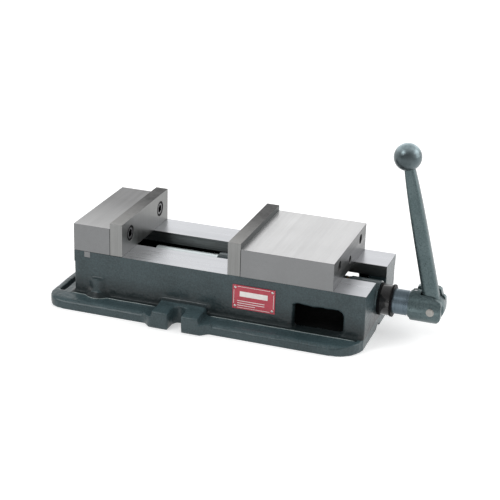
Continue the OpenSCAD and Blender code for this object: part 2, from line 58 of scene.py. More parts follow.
class Shade:
    """A short way to build one material's nodes."""

    def __init__(self, name):
        self.mat = bpy.data.materials.new(name)
        self.mat.use_nodes = True
        self.tree = self.mat.node_tree
        self.bsdf = self.tree.nodes["Principled BSDF"]
        self.coords = self.tree.nodes.new("ShaderNodeTexCoord").outputs["Object"]

    def node(self, kind, **values):
        made = self.tree.nodes.new(kind)
        for key, value in values.items():
            if key in made.inputs:
                made.inputs[key].default_value = value
            else:
                setattr(made, key, value)
        return made

    def link(self, a, b):
        self.tree.links.new(a, b)

    def scaled(self, scale):
        mapping = self.node("ShaderNodeMapping")
        mapping.inputs["Scale"].default_value = scale
        self.link(self.coords, mapping.inputs["Vector"])
        return mapping.outputs["Vector"]

    def noise(self, scale, detail=3.0, rough=0.55, stretch=None):
        made = self.node("ShaderNodeTexNoise", Scale=scale, Detail=detail, Roughness=rough)
        self.link(self.scaled(stretch) if stretch else self.coords, made.inputs["Vector"])
        return made.outputs["Fac"]

    def cells(self, scale, smooth=0.6):
        made = self.node("ShaderNodeTexVoronoi", feature="SMOOTH_F1", Scale=scale, Smoothness=smooth)
        self.link(self.coords, made.inputs["Vector"])
        return made.outputs["Distance"]

    def ramp(self, value, stops):
        made = self.node("ShaderNodeValToRGB")
        points = made.color_ramp.elements
        while len(points) < len(stops):
            points.new(0.5)
        for point, (at, colour) in zip(points, stops):
            point.position = at
            point.color = (*colour, 1.0) if len(colour) == 3 else colour
        self.link(value, made.inputs["Fac"])
        return made.outputs["Color"]

    def grey(self, value, low, high, from_low=0.3, from_high=0.7):
        made = self.node("ShaderNodeMapRange")
        for key, number in zip(RANGE, (from_low, from_high, low, high)):
            made.inputs[key].default_value = number
        self.link(value, made.inputs["Value"])
        return made.outputs["Result"]

    def mix(self, a, b, factor, blend="MIX"):
        made = self.node("ShaderNodeMix", data_type="RGBA", blend_type=blend)
        for socket, value in ((made.inputs[0], factor), (made.inputs[6], a), (made.inputs[7], b)):
            if hasattr(value, "links"):
                self.link(value, socket)
            else:
                socket.default_value = value
        return made.outputs[2]

    def bump(self, value, distance, strength=1.0, before=None):
        made = self.node("ShaderNodeBump", Strength=strength, Distance=distance)
        self.link(value, made.inputs["Height"])
        if before is not None:
            self.link(before, made.inputs["Normal"])
        return made.outputs["Normal"]

    def edge_wear(self):
        """Bright where the surface turns outwards sharply, dark in corners."""
        return self.node("ShaderNodeNewGeometry").outputs["Pointiness"]

    def split(self, vector):
        made = self.node("ShaderNodeSeparateXYZ")
        self.link(vector, made.inputs[0])
        return made.outputs

    def facing(self):
        """Which way a face looks, as X, Y and Z in the piece's own space."""
        return self.split(self.node("ShaderNodeTexCoord").outputs["Normal"])

    def facing_up(self):
        """1 on faces that look straight up, 0 on upright ones."""
        return self.grey(self.facing()["Z"], 0.0, 1.0, 0.5, 0.9)

    def maths(self, operation, a, b=None):
        made = self.node("ShaderNodeMath", operation=operation)
        for socket, value in zip(made.inputs, (a, b)):
            if value is not None:
                self.link(value, socket)
        return made.outputs[0]

    def finish(self, **values):
        names = {"colour": "Base Color", "rough": "Roughness", "normal": "Normal", "metal": "Metallic",
                 "coat": "Coat Weight", "coat_rough": "Coat Roughness", "spec": "Specular IOR Level"}
        for key, value in values.items():
            socket = self.bsdf.inputs[names[key]]
            if hasattr(value, "links"):
                self.link(value, socket)
            else:
                socket.default_value = value
        return self.mat


def hammered_paint(name, dark, light, cell, depth, rough, coat, wear=1.0, spec=0.5, foot=None, metal=0.0):
    """Stove enamel over a rough casting: small dimples, cloudy colour and a soft gloss.
    foot is the height band (m) of painted shade over which the walls' paint goes from dark, just above the flange,
    to full;
    the flange below it, its lugs included, is painted lighter as painted light, most of all on top."""
    s = Shade(name)
    cloud = s.noise(26.0, 4.0, 0.6)
    speck = s.noise(520.0, 3.0, 0.6)
    base = s.ramp(cloud, [(0.30, dark), (0.72, light)])
    specks = s.ramp(speck, [(0.35, [c * 0.62 for c in dark]), (0.68, [c * 1.25 for c in light])])
    colour = s.mix(base, specks, 0.38)
    if wear:
        worn = s.grey(s.edge_wear(), 0.0, wear, 0.54, 0.62)
        colour = s.mix(colour, (*[min(1.0, c * 1.7) for c in light], 1.0), worn)
    # Painted shade on the walls just above the flange, and painted light on the flange, brightest on its tops.
    if foot:
        place = s.split(s.coords)
        wall_foot_painted_shade = s.grey(place["Z"], 0.20, 0.95, *foot)
        low = s.grey(place["Z"], 1.0, 0.0, foot[0] - 1.2 * MM, foot[0])
        outside = s.grey(s.maths("ABSOLUTE", place["Y"]), 0.0, 1.0, WALL_Y + 4.5 * MM, WALL_Y + 6.5 * MM)
        flange_painted_light = s.mix((1.05, 1.05, 1.05, 1.0), (1.5, 1.5, 1.5, 1.0), s.facing_up())
        colour = s.mix(colour, s.mix(wall_foot_painted_shade, flange_painted_light, s.maths("MAXIMUM", outside, low)), 1.0, "MULTIPLY")
    normal = s.bump(s.cells(cell), depth, 0.75)
    normal = s.bump(s.noise(90.0, 4.0), depth * 1.6, 0.55, normal)
    return s.finish(colour=colour, rough=s.grey(speck, rough - 0.06, rough + 0.10), normal=normal,
                    coat=coat, coat_rough=0.16, spec=spec, metal=metal)


def ball_with_painted_light(name, dark, light, rough):
    """The handle's ball, rubbed smooth by hands: a painted highlight on top and a darker painted reflection where
    it faces forwards.
    """
    s = Shade(name)
    cloud = s.noise(120.0, 4.0, 0.6)
    colour = s.ramp(cloud, [(0.3, dark), (0.7, light)])
    facing = s.facing()
    # Painted highlight on the faces looking up, and a darker painted reflection on those looking forwards.
    colour = s.mix(colour, s.grey(facing["Z"], 1.0, 3.2, 0.45, 0.85), 1.0, "MULTIPLY")
    colour = s.mix(colour, s.grey(facing["Y"], 0.62, 1.0, -0.95, -0.55), 1.0, "MULTIPLY")
    return s.finish(colour=colour, metal=0.85, rough=s.grey(cloud, rough - 0.04, rough + 0.06),
                    normal=s.bump(cloud, 0.00005, 0.5), spec=0.4)


def ground_steel(name, dark, light, rough, along, streak=1.0, side=1.0, top=(1.0, 1.0), end=1.0):
    """Surface-ground steel: long fine scratches along one axis (0, 1 or 2). side, end and top are painted shade:
    side dims the upright faces, end those of them that face the screw's end, and top the level ones, from the
    jaw's near end to its far end."""
    s = Shade(name)
    stretch = [900.0, 900.0, 900.0]
    stretch[along] = 14.0
    lines = s.noise(1.0, 5.0, 0.72, stretch)
    coarse = [170.0, 170.0, 170.0]
    coarse[along] = 3.0
    bands = s.noise(1.0, 3.0, 0.6, coarse)
    cloud = s.noise(18.0, 3.0, 0.5)
    colour = s.mix(s.ramp(lines, [(0.32, dark), (0.68, light)]), s.ramp(bands, [(0.3, dark), (0.7, light)]), 0.45)
    colour = s.mix(colour, s.ramp(cloud, [(0.35, dark), (0.7, light)]), 0.25)
    # Painted shade: darker upright faces and ends, and tops graded from the near end to the far end.
    if side != 1.0:
        top_painted_shade = s.grey(s.split(s.coords)["Y"], *top, -WALL_Y, WALL_Y * 0.4)
        upright_painted_shade = s.mix(colour, (side, side * 1.02, side * 1.03, 1.0), 1.0, "MULTIPLY")
        upright_painted_shade = s.mix(upright_painted_shade, s.grey(s.facing()["X"], 1.0, end, 0.5, 0.9), 1.0, "MULTIPLY")
        colour = s.mix(upright_painted_shade, s.mix(colour, top_painted_shade, 1.0, "MULTIPLY"), s.facing_up())
    normal = s.bump(lines, 0.00003 * streak, 0.6)
    return s.finish(colour=colour, metal=1.0, rough=s.grey(bands, rough - 0.05, rough + 0.09), normal=normal)


def turned_steel(name, dark, light, rough, ring=1500.0):
    """Turned round the X axis: rings along the length."""
    s = Shade(name)
    lines = s.noise(1.0, 4.0, 0.7, (ring, 16.0, 16.0))
    cloud = s.noise(60.0, 3.0)
    colour = s.mix(s.ramp(lines, [(0.3, dark), (0.7, light)]), s.ramp(cloud, [(0.3, dark), (0.7, light)]), 0.35)
    return s.finish(colour=colour, metal=1.0, rough=s.grey(cloud, rough - 0.05, rough + 0.08),
                    normal=s.bump(lines, 0.00003, 0.5))


def black_metal(name, tone, rough, coat=0.0, spec=0.5):
    s = Shade(name)
    cloud = s.noise(220.0, 4.0)
    colour = s.ramp(cloud, [(0.3, [tone * 0.7] * 3), (0.7, [tone * 1.4, tone * 1.4, tone * 1.5])])
    return s.finish(colour=colour, metal=0.35 if spec > 0.3 else 0.0,
                    rough=s.grey(cloud, rough - 0.05, rough + 0.1), normal=s.bump(cloud, 0.00004, 0.4),
                    coat=coat, coat_rough=0.08, spec=spec)


def rubber(name):
    s = Shade(name)
    grain = s.noise(900.0, 3.0)
    return s.finish(colour=s.ramp(grain, [(0.3, (0.002, 0.002, 0.0025)), (0.7, (0.006, 0.006, 0.007))]),
                    rough=s.grey(grain, 0.4, 0.6), normal=s.bump(grain, 0.00003, 0.5), spec=0.1)


def bronze(name):
    s = Shade(name)
    cloud = s.noise(140.0, 4.0)
    return s.finish(colour=s.ramp(cloud, [(0.3, (0.36, 0.2, 0.07)), (0.7, (0.62, 0.4, 0.17))]), metal=1.0,
                    rough=s.grey(cloud, 0.25, 0.45), normal=s.bump(cloud, 0.00004, 0.4))


def enamel(name, deep, bright):
    """Screen-printed plate: flat colour, faint orange peel, thin gloss coat."""
    s = Shade(name)
    cloud = s.noise(90.0, 3.0)
    peel = s.noise(1300.0, 2.0)
    return s.finish(colour=s.ramp(cloud, [(0.3, deep), (0.7, bright)]), rough=s.grey(cloud, 0.28, 0.38),
                    normal=s.bump(peel, 0.00003, 0.35), coat=0.4, coat_rough=0.1)


# Height band of the painted shade on the walls just above the flange.
FOOT = (15.5 * MM, 44.0 * MM)
PAINT_DARK, PAINT_LIGHT = (0.021, 0.037, 0.041), (0.043, 0.068, 0.075)
PAINT = hammered_paint("casting_paint", PAINT_DARK, PAINT_LIGHT, 240.0, 0.00055, 0.34, 0.22, 0.8, 0.3, FOOT)
WALL_PAINT = hammered_paint("wall_paint", PAINT_DARK, PAINT_LIGHT, 240.0, 0.00055, 0.34, 0.22, 0.0, 0.3)
SHADE_PAINT = hammered_paint("shaded_paint", (0.008, 0.014, 0.015), (0.018, 0.027, 0.029), 240.0, 0.0004,
                             0.5, 0.1, 0.0, 0.2)
# Pooled paint of the foot beads, much lighter than the casting's paint: a painted highlight.
POOLED_PAINT_HIGHLIGHT = hammered_paint("pooled_paint_highlight", (0.16, 0.20, 0.20), (0.26, 0.31, 0.31), 240.0, 0.0002, 0.25, 0.6, 0.0)
# Near-black paint for the inside of the chamber: painted shade.
INSIDE_PAINTED_SHADE = hammered_paint("casting_inside", (0.002, 0.003, 0.003), (0.005, 0.006, 0.006), 160.0, 0.0005,
                        0.9, 0.0, 0.0, 0.1)
HANDLE = hammered_paint("handle_paint", (0.061, 0.092, 0.096), (0.107, 0.144, 0.150), 330.0, 0.00016, 0.32,
                        0.1, 0.5, 0.4, metal=0.7)
BALL_PAINTED_LIGHT = ball_with_painted_light("ball_paint_painted_light", (0.088, 0.114, 0.122), (0.142, 0.176, 0.186), 0.30)
# The side, end and top numbers of these jaw steels are painted shade.
GROUND = ground_steel("ground_steel", (0.53, 0.53, 0.53), (0.68, 0.68, 0.685), 0.34, 1, side=0.335, end=0.6)
FIXED = ground_steel("fixed_block_steel", (0.40, 0.40, 0.40), (0.56, 0.56, 0.565), 0.38, 1, 1.2, side=0.42,
                     top=(0.88, 0.42))
BED = ground_steel("bed_steel", (0.50, 0.51, 0.53), (0.62, 0.63, 0.66), 0.30, 0)
# Near-black steel for the ways' inner sides, undersides and slot faces: painted shade.
WAY_SIDE_PAINTED_SHADE = ground_steel("way_side_steel_painted_shade", (0.05, 0.055, 0.055), (0.24, 0.25, 0.25), 0.40, 0, 2.0)
PLATE = ground_steel("plate_steel", (0.27, 0.268, 0.26), (0.44, 0.437, 0.426), 0.36, 2, 1.6, side=0.65,
                     top=(0.70, 0.05), end=0.88)
PLATE_BACK = ground_steel("plate_back_steel", (0.05, 0.055, 0.055), (0.11, 0.12, 0.12), 0.42, 1)
GUARD = ground_steel("guard_steel", (0.66, 0.73, 0.74), (0.88, 0.94, 0.95), 0.30, 0)
TURNED = turned_steel("turned_steel", (0.075, 0.105, 0.126), (0.19, 0.24, 0.275), 0.28)
PIN = turned_steel("pin_metal", (0.22, 0.215, 0.205), (0.40, 0.39, 0.37), 0.34)
BEARING = turned_steel("bearing_steel", (0.40, 0.41, 0.42), (0.6, 0.61, 0.62), 0.25)
OXIDE = black_metal("black_oxide", 0.012, 0.36)
HEAD = black_metal("screw_head", 0.10, 0.34)
# Near-black for the seams between parts, and painted shade for the plate screws' sockets and the rings round their
# heads.
SEAM_AND_SHADE_BLACK = black_metal("seam_and_shade_black", 0.002, 0.5, 0.0, 0.05)
GLOSS = black_metal("black_gloss", 0.004, 0.08, 1.0, 0.3)
SEAL = rubber("seal_rubber")
BRONZE = bronze("bronze")
RED = enamel("plate_red", (0.33, 0.012, 0.032), (0.42, 0.020, 0.046))
PALE = enamel("plate_pale", (0.66, 0.62, 0.60), (0.78, 0.75, 0.73))
RIVET = turned_steel("rivet_metal", (0.45, 0.45, 0.44), (0.7, 0.7, 0.68), 0.32)

BY_NODE = {
    "base_casting": PAINT, "jaw_nut": PAINT, "nameplate": RED, "nameplate_rivets": RIVET,
    "fixed_jaw_block": FIXED, "movable_jaw_block": GROUND, "fixed_jaw_plate": PLATE,
    "movable_jaw_plate": PLATE, "fixed_jaw_bolts": OXIDE, "fixed_plate_screws": SEAM_AND_SHADE_BLACK,
    "movable_plate_screws": SEAM_AND_SHADE_BLACK, "jaw_set_screw": OXIDE, "guard_screws": OXIDE,
    "collar_set_screw": OXIDE, "fixed_jaw_washers": BEARING, "thrust_washer_fixed": BEARING,
    "thrust_washer_turning": BEARING, "thrust_rollers": BEARING, "lock_segment": BEARING,
    "hub_drive_pin": BEARING, "bearing_bush": BRONZE, "thrust_cage": BRONZE, "screw_guard": GUARD,
    "lead_screw": TURNED, "spacer_sleeve": TURNED, "handle_pivot_pin": PIN,
    "thrust_collar": GLOSS, "collar_ring_inner": SEAL, "collar_ring_outer": SEAL,
    "handle_hub": HANDLE, "handle_lever": HANDLE,
}


def set_material(obj, material):
    obj.data.materials.clear()
    obj.data.materials.append(material)


for node_name, node_material in BY_NODE.items():
    set_material(NODES[node_name], node_material)


def pick_faces(node, material, chosen):
    """Gives a second material to the faces of a CAD piece that the test picks out."""
    mesh = NODES[node].data
    mesh.materials.append(material)
    for face in mesh.polygons:
        if chosen(face):
            face.material_index = 1


# Each plate's screws, body and the side its working face looks to: pale heads round black sockets, the sockets'
# near-black being black oxide and painted shade.
PLATE_FIXINGS = (("fixed_plate_screws", "fixed_jaw_plate", "base", 1),
                 ("movable_plate_screws", "movable_jaw_plate", "moving_jaw", -1))
for screws_name, plate_name, _, outwards in PLATE_FIXINGS:
    head_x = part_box(screws_name)[1 if outwards > 0 else 0][0]
    pick_faces(screws_name, HEAD, lambda face: abs(face.center.x - head_x) < 0.5 * MM)
    pick_faces(plate_name, PLATE_BACK, lambda face: face.normal.x * outwards < -0.7)


# ---------------------------------------------------------------- rounded edges of the CAD pieces

def round_edges(node, width_mm, segments=2, angle=28.0):
    """Merges the triangles' corners, joins flat triangles and rounds what is left of the sharp edges."""
    obj = NODES[node]
    weld = obj.modifiers.new("weld", "WELD")
    weld.merge_threshold = 0.00001
    flat = obj.modifiers.new("flat", "DECIMATE")
    flat.decimate_type = "DISSOLVE"
    flat.angle_limit = math.radians(0.5)
    bevel = obj.modifiers.new("round", "BEVEL")
    bevel.width = width_mm * MM
    bevel.segments = segments
    bevel.limit_method = "ANGLE"
    bevel.angle_limit = math.radians(angle)
    bevel.miter_outer = "MITER_ARC"
    bevel.harden_normals = False
    normals = obj.modifiers.new("normals", "WEIGHTED_NORMAL")
    normals.keep_sharp = False


for node_name in ("fixed_jaw_block", "movable_jaw_block", "fixed_jaw_plate", "movable_jaw_plate"):
    round_edges(node_name, 0.7)
round_edges("jaw_nut", 0.8)
round_edges("handle_hub", 1.3, 3)


# ---------------------------------------------------------------- pieces made here

def link_piece(name, mesh, body, slot_name, materials, *nodes):
    """A finished mesh becomes a piece that rides on a body and stands for CAD nodes."""
    obj = bpy.data.objects.new(name, mesh)
    bpy.context.scene.collection.objects.link(obj)
    for material in materials:
        mesh.materials.append(material)
    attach(obj, body)
    if nodes:
        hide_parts(*nodes)
    return obj


def mesh_from(bm, name):
    mesh = bpy.data.meshes.new(name)
    bm.normal_update()
    bm.to_mesh(mesh)
    bm.free()
    return mesh


def applied(mesh, name, *modifiers):
    """The mesh after these modifiers, each (type, {setting: value})."""
    obj = bpy.data.objects.new(name + "_work", mesh)
    bpy.context.scene.collection.objects.link(obj)
    for number, (kind, values) in enumerate(modifiers):
        modifier = obj.modifiers.new(f"m{number}", kind)
        for key, value in values.items():
            setattr(modifier, key, value)
    graph = bpy.context.evaluated_depsgraph_get()
    result = bpy.data.meshes.new_from_object(obj.evaluated_get(graph))
    bpy.data.objects.remove(obj)
    result.name = name
    return result


def clean_copy(node):
    """The CAD node's mesh with its corners merged, as a bmesh."""
    bm = bmesh.new()
    bm.from_mesh(NODES[node].data)
    bmesh.ops.remove_doubles(bm, verts=bm.verts, dist=0.00001)
    return bm


def cut(bm, height, keep_above):
    everything = bm.verts[:] + bm.edges[:] + bm.faces[:]
    bmesh.ops.bisect_plane(bm, geom=everything, plane_co=(0, 0, height), plane_no=(0, 0, 1),
                           clear_inner=keep_above, clear_outer=not keep_above)


BASE_LOW, BASE_HIGH = (Vector(corner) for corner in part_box("base_casting"))
BED_Z = BASE_HIGH.z
WAY_CUT = BED_Z - 15.5 * MM          # below this the casting is left rough
WAY_INNER = 28.0 * MM
CHAMBER_Y = WALL_Y - 15.0 * MM
WINDOW_TOP = 48.5 * MM
WINDOW_X = (BASE_HIGH.x - 92.0 * MM, BASE_HIGH.x - 27.0 * MM)
AXIS_Z = 40.5 * MM
FLANGE_Z = 14.5 * MM
FOOT_OUT = 6.0 * MM
LUG_X = 46.0 * MM                    # half length of a lug with its blends
LUG_OUT = 9.5 * MM                   # how far a lug stands out past the flange
BODY_X = (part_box("fixed_jaw_block")[0][0] - 4.0 * MM, BASE_HIGH.x - 7.0 * MM)
BOLT_X = (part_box("fixed_jaw_bolts")[0][0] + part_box("fixed_jaw_bolts")[1][0]) / 2
BOSS_Y = WALL_Y - 6.5 * MM           # the bolt bosses' centre
BOSS_FOOT = 19.5 * MM                # and radius where they meet the flange


def wave(point, scale, seed):
    return noise.noise(Vector((point.x * scale + seed, point.y * scale, point.z * scale)))


def foot_distance(co):
    """Distance outwards from the line where the walls and bolt bosses meet the flange."""
    middle, half = (BODY_X[0] + BODY_X[1]) / 2, (BODY_X[1] - BODY_X[0]) / 2
    walls = max(abs(co.x - middle) - half, abs(co.y) - WALL_Y - FOOT_OUT)
    boss = math.hypot(co.x - BOLT_X, abs(co.y) - BOSS_Y) - BOSS_FOOT
    return min(walls, boss)


def shape_flange(co):
    """The flange's top falls away from the walls and rounds over at the edge."""
    if abs(co.x) < LUG_X or co.z > FLANGE_Z + 3.5 * MM:
        return
    out = abs(co.y) - WALL_Y - FOOT_OUT
    rounding = 7.0 * MM
    if out > 0.0:
        span = BASE_HIGH.y - LUG_OUT - WALL_Y - FOOT_OUT
        edge = min(1.0, max(0.0, (out - span + rounding) / rounding))
        co.z *= 1.0 - 0.12 * min(1.0, out / span) - 0.24 * edge * edge


def roughen(vert):
    """Lumps of a sand casting, and the uneven lip of the side windows."""
    co = vert.co
    shape_flange(co)
    fade = min(1.0, max(0.0, (WAY_CUT - co.z) / (8.0 * MM)))
    if co.z > 2.0 * MM:
        vert.co = co + vert.normal * (0.35 * MM * wave(co, 55.0, 3.0) + 0.12 * MM * wave(co, 240.0, 9.0)) * fade
    near_lip = max(0.0, 1.0 - abs(co.z - WINDOW_TOP) / (6.0 * MM))
    inside = WINDOW_X[0] + 4.0 * MM < co.x < WINDOW_X[1] - 8.0 * MM
    if near_lip > 0.0 and inside and abs(co.y) > CHAMBER_Y - 3.0 * MM:
        vert.co.z += near_lip * 2.6 * MM * noise.noise(Vector((co.x * 85.0, 0.0, 1.7)))


def make_casting():
    """Rough painted casting below, with rounded edges and fillets."""
    rough = applied(mesh_from(clean_copy("base_casting"), "base_copy"), "casting_rough",
                    ("REMESH", {"mode": "VOXEL", "voxel_size": 1.6 * MM}),
                    ("SMOOTH", {"factor": 0.5, "iterations": 7}))
    bm = bmesh.new()
    bm.from_mesh(rough)
    cut(bm, WAY_CUT, False)
    bm.normal_update()
    for vert in bm.verts:
        roughen(vert)
        vert.co.z = max(vert.co.z, 0.0)
    mesh = applied(mesh_from(bm, "casting_rough"), "casting_rough", ("DECIMATE", {"ratio": 0.6}))
    mesh.shade_smooth()
    chamber_x = (BASE_LOW.x + 55.0 * MM, BASE_HIGH.x - 24.5 * MM)
    # Painted shade: the chamber's inside gets near-black paint, and the strip along the walls' foot darker paint.
    for face in mesh.polygons:
        mid = face.center
        inside = abs(mid.y) < CHAMBER_Y + 1.5 * MM and chamber_x[0] < mid.x < chamber_x[1] and mid.z > 12.0 * MM
        shaded = (abs(mid.x) > LUG_X - 12.0 * MM and FLANGE_Z - MM < mid.z < 21.0 * MM
                  and foot_distance(mid) < 0.0)
        face.material_index = 1 if inside else 2 if shaded else 0
    link_piece("casting_rough", mesh, "base", "casting_paint", (PAINT, INSIDE_PAINTED_SHADE, SHADE_PAINT), "base_casting")


def join_rings(bm, rings, closed=False):
    """Quads between neighbouring rings of vertices, and from the last back to the first if closed."""
    steps = len(rings[0])
    for first, second in zip(rings, rings[1:] + rings[:1] if closed else rings[1:]):
        for k in range(steps):
            bm.faces.new((first[k], first[(k + 1) % steps], second[(k + 1) % steps], second[k]))


def make_foot_beads():
    """Thin ridges of pooled paint along the line where the walls and bolt bosses meet the flange, coloured far
    lighter than the paint as a painted highlight.
    """
    bm = bmesh.new()
    sides, spacing, lug_gap = 8, 1.5 * MM, LUG_X - 9.0 * MM
    for side in (-1, 1):
        for x0, x1 in ((BODY_X[0], -lug_gap), (lug_gap, BODY_X[1] - 2.0 * MM)):
            count = int((x1 - x0) / spacing)
            rings = []
            for step in range(count + 1):
                x = x0 + (x1 - x0) * step / count
                here = Vector((x, side, 0.0))
                y = WALL_Y + FOOT_OUT + 0.7 * MM * wave(here, 40.0, 5.0)
                if abs(x - BOLT_X) < BOSS_FOOT:
                    y = max(y, BOSS_Y + math.sqrt(BOSS_FOOT ** 2 - (x - BOLT_X) ** 2))
                thick = MM * (0.62 + 0.30 * wave(here, 110.0, 8.0)) * min(1.0, 0.1 + min(step, count - step) / 4.0)
                rings.append([bm.verts.new((x, side * (y + thick * math.cos(2 * math.pi * k / sides)),
                                            FLANGE_Z + 0.6 * MM + thick * math.sin(2 * math.pi * k / sides)))
                              for k in range(sides)])
            join_rings(bm, rings)
            bm.faces.new(rings[0])
            bm.faces.new(rings[-1])
    bmesh.ops.recalc_face_normals(bm, faces=bm.faces)
    mesh = mesh_from(bm, "foot_beads")
    mesh.shade_smooth()
    link_piece("foot_beads", mesh, "base", "casting_paint", (POOLED_PAINT_HIGHLIGHT,))


def make_ways():
    """The milled upper part: bright bed, painted outside, and the ways' inner sides, undersides and slot faces
    darkened as painted shade.
    """
    bm = clean_copy("base_casting")
    cut(bm, WAY_CUT, True)
    bmesh.ops.dissolve_limit(bm, angle_limit=math.radians(0.5), verts=bm.verts, edges=bm.edges)
    sharp = [e for e in bm.edges if len(e.link_faces) == 2 and e.calc_face_angle(0.0) > math.radians(40)
             and min(v.co.z for v in e.verts) > WAY_CUT + MM]
    bmesh.ops.bevel(bm, geom=sharp, offset=0.45 * MM, segments=2, affect="EDGES", clamp_overlap=True, profile=0.5)
    bm.normal_update()
    for face in bm.faces:
        mid = face.calc_center_median()
        flat_top = face.normal.z > 0.8 and mid.z > BED_Z - 0.4 * MM
        way_side = abs(face.normal.y) > 0.7 and abs(abs(mid.y) - WAY_INNER) < 0.6 * MM
        underside = face.normal.z < -0.7 and mid.x < BASE_HIGH.x - 24.0 * MM
        slot_face = (BASE_LOW.x + 42.0 * MM < mid.x < BASE_LOW.x + 52.5 * MM and mid.z > BED_Z - 8.5 * MM
                     and abs(face.normal.y) < 0.5)
        face.smooth = False
        face.material_index = 1 if flat_top else 2 if way_side or underside or slot_face else 0
    mesh = mesh_from(bm, "casting_ways")
    link_piece("casting_ways", mesh, "base", "ground_steel", (WALL_PAINT, BED, WAY_SIDE_PAINTED_SHADE), "base_casting")


def lathe_x(bm, profile, steps=64):
    """Turns (x, radius) points about the screw axis."""
    rings = []
    for x, radius in profile:
        rings.append([bm.verts.new((x, radius * math.sin(2 * math.pi * k / steps),
                                    AXIS_Z + radius * math.cos(2 * math.pi * k / steps))) for k in range(steps)])
    join_rings(bm, rings)
    bm.faces.new(rings[0])
    bm.faces.new(reversed(rings[-1]))


def make_lead_screw():
    """Trapezoid thread as far as the shoulder, then the journal and the drive end.
    It is drawn right-handed, but screw_turn's ratio is that of a left-hand thread."""
    low, high = (Vector(corner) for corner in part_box("lead_screw"))
    pitch, major, minor, steps, per_turn = 5.08 * MM, 16.0 * MM, 13.4 * MM, 40, 10
    shoulder_r, shoulder_long, journal_r, drive_r = 20.0 * MM, 4.0 * MM, 14.0 * MM, 12.0 * MM
    shoulder_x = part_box("thrust_washer_turning")[0][0] - shoulder_long
    hub_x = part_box("handle_hub")[0][0]
    start = low.x + 3.0 * MM
    rows = int((shoulder_x - start) / pitch * per_turn)
    bm = bmesh.new()
    rings = []
    for row in range(rows + 1):
        x = start + (shoulder_x - start) * row / rows
        ring = []
        for k in range(steps):
            turn = k / steps
            phase = (x / pitch + turn) % 1.0
            rise = min(1.0, max(0.0, 4.5 * abs(phase - 0.5) - 0.55))
            radius = minor + (major - minor) * (1.0 - rise)
            angle = 2 * math.pi * turn
            ring.append(bm.verts.new((x, radius * math.sin(angle), AXIS_Z + radius * math.cos(angle))))
        rings.append(ring)
    join_rings(bm, rings)
    lathe_x(bm, [(low.x, 11.5 * MM), (low.x + MM, 12.8 * MM), (start + MM, 12.8 * MM)], steps=steps)
    soft = 0.6 * MM
    back_x = shoulder_x + shoulder_long
    lathe_x(bm, [(shoulder_x - soft, 13.0 * MM), (shoulder_x, shoulder_r - soft), (shoulder_x + soft, shoulder_r),
                 (back_x - soft, shoulder_r), (back_x, shoulder_r - soft), (back_x, journal_r),
                 (hub_x - 0.2 * MM, journal_r), (hub_x - 0.1 * MM, drive_r), (high.x - MM, drive_r),
                 (high.x, 11.0 * MM)])
    mesh = mesh_from(bm, "lead_screw_threaded")
    mesh.shade_smooth()
    mesh.set_sharp_from_angle(angle=math.radians(35))
    link_piece("lead_screw_threaded", mesh, "screw", "turned_steel", (TURNED,), "lead_screw")


def make_handle():
    """Forged handle: round eye, flattened tapering shank and ball, upright at first and then leant over."""
    fold = next(joint for joint in frame["joints"] if joint["name"] == "handle_fold")
    pivot = Vector(fold["pos_m"])
    lean, length, ball, steps = math.radians(13.7), 196.0 * MM, 17.3 * MM, 48
    shank_rows, ball_rows, eye_steps = 24, 20, 64
    bm = bmesh.new()
    sections = []
    shank_low, shank_top = 7.0 * MM, length - ball + 2.2 * MM
    for row in range(shank_rows + 1):
        t = row / shank_rows
        z = shank_low + (shank_top - shank_low) * t
        wide = (10.4 - 1.5 * t - 2.3 * t ** 5) * MM
        thick = (9.25 - 1.2 * t - 1.6 * t ** 5) * MM
        sections.append((z, wide, thick, 3.0))
    start = math.asin(min(1.0, sections[-1][1] / ball))
    for row in range(1, ball_rows):
        angle = start + (math.pi - start) * row / ball_rows
        radius = ball * math.sin(angle)
        sections.append((length - ball * math.cos(angle), radius, radius, 2.0))
    rings = []
    for z, wide, thick, power in sections:
        ring = []
        for k in range(steps):
            angle = 2 * math.pi * k / steps
            across, along = math.cos(angle), math.sin(angle)
            ring.append(bm.verts.new((math.copysign(abs(across) ** (2 / power), across) * wide,
                                      math.copysign(abs(along) ** (2 / power), along) * thick, z)))
        rings.append(ring)
    join_rings(bm, rings)
    tip = bm.verts.new((0, 0, length + ball))
    for k in range(steps):
        bm.faces.new((rings[-1][k], rings[-1][(k + 1) % steps], tip))
    bm.faces.new(reversed(rings[0]))
    eye, bore, half, soft = 15.0 * MM, 5.05 * MM, 9.3 * MM, 1.2 * MM
    profile = [(bore, -half), (eye - soft, -half), (eye - 0.3 * soft, -half + 0.3 * soft), (eye, -half + soft),
               (eye, half - soft), (eye - 0.3 * soft, half - 0.3 * soft), (eye - soft, half), (bore, half)]
    turns = [2 * math.pi * k / eye_steps for k in range(eye_steps)]
    join_rings(bm, [[bm.verts.new((r * math.cos(a), y, r * math.sin(a))) for a in turns]
                    for r, y in profile], True)
    bmesh.ops.recalc_face_normals(bm, faces=bm.faces)
    bmesh.ops.transform(bm, matrix=Matrix.Translation(pivot) @ Matrix.Rotation(-lean, 4, "Y"), verts=bm.verts)
    mesh = mesh_from(bm, "handle_forged")
    mesh.shade_smooth()
    mesh.set_sharp_from_angle(angle=math.radians(50))
    centre = pivot + length * Vector((-math.sin(lean), 0.0, math.cos(lean)))
    for face in mesh.polygons:
        face.material_index = 1 if (face.center - centre).length < ball + MM else 0
    link_piece("handle_forged", mesh, "handle", "handle_paint", (HANDLE, BALL_PAINTED_LIGHT), "handle_lever")


